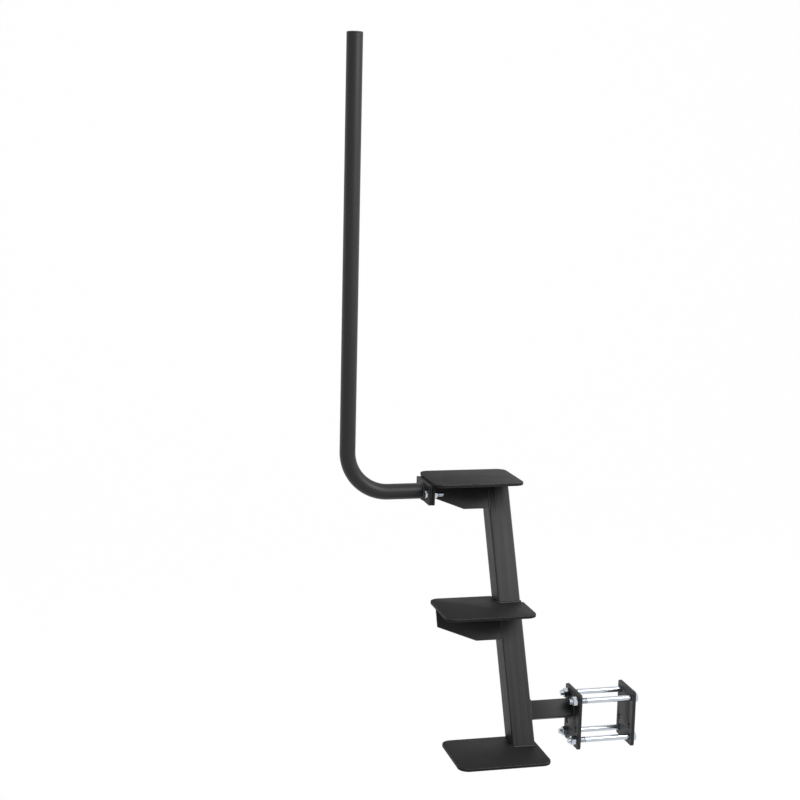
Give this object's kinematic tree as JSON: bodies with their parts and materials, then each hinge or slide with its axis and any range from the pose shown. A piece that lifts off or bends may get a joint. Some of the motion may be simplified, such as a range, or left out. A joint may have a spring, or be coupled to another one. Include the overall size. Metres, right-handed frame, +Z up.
{
  "type": "trailer tongue ladder",
  "caption": "Bolt-on trailer tongue ladder: offset flat steps on a leaning square riser, an upright bent hand rail, and a side arm with a bolted plate clamp",
  "frame": {"origin": "middle of the flat inner face of the fixed clamp plate, which lies against the trailer's tongue beam", "axes": "+Z up along the hand rail, +X square out of that face, through the clamp and away from the riser, +Y away from the climber, along the tongue beam"},
  "size_m": [0.6336, 0.4085, 1.5243],
  "materials": {
    "frame_paint": "fine textured black powder coat",
    "zinc": "bright zinc plate",
    "cap": "black moulded plastic"
  },
  "bodies": {
    "ladder": {"riser": "frame_paint", "bottom_step": "frame_paint", "middle_step": "frame_paint", "top_step": "frame_paint", "middle_gusset": "frame_paint", "top_gusset": "frame_paint", "fixed_flange": "frame_paint", "rail_flange": "frame_paint", "hand_rail": "frame_paint", "rail_cap": "cap", "rail_bolt_front": "zinc", "rail_bolt_back": "zinc", "rail_nut_front": "zinc", "rail_nut_back": "zinc", "arm": "frame_paint", "fixed_clamp_plate": "frame_paint", "nut_upper_front": "zinc", "nut_upper_back": "zinc", "nut_lower_front": "zinc", "nut_lower_back": "zinc"},
    "clamp_jaw": {"outer_clamp_plate": "frame_paint", "bolt_upper_front": "zinc", "bolt_upper_back": "zinc", "bolt_lower_front": "zinc", "bolt_lower_back": "zinc"}
  },
  "joints": [
    {"name": "clamp_slide", "type": "slide", "parent": "ladder", "child": "clamp_jaw", "axis": [1, 0, 0], "range_m": [-0.022, 0.006]}
  ]
}
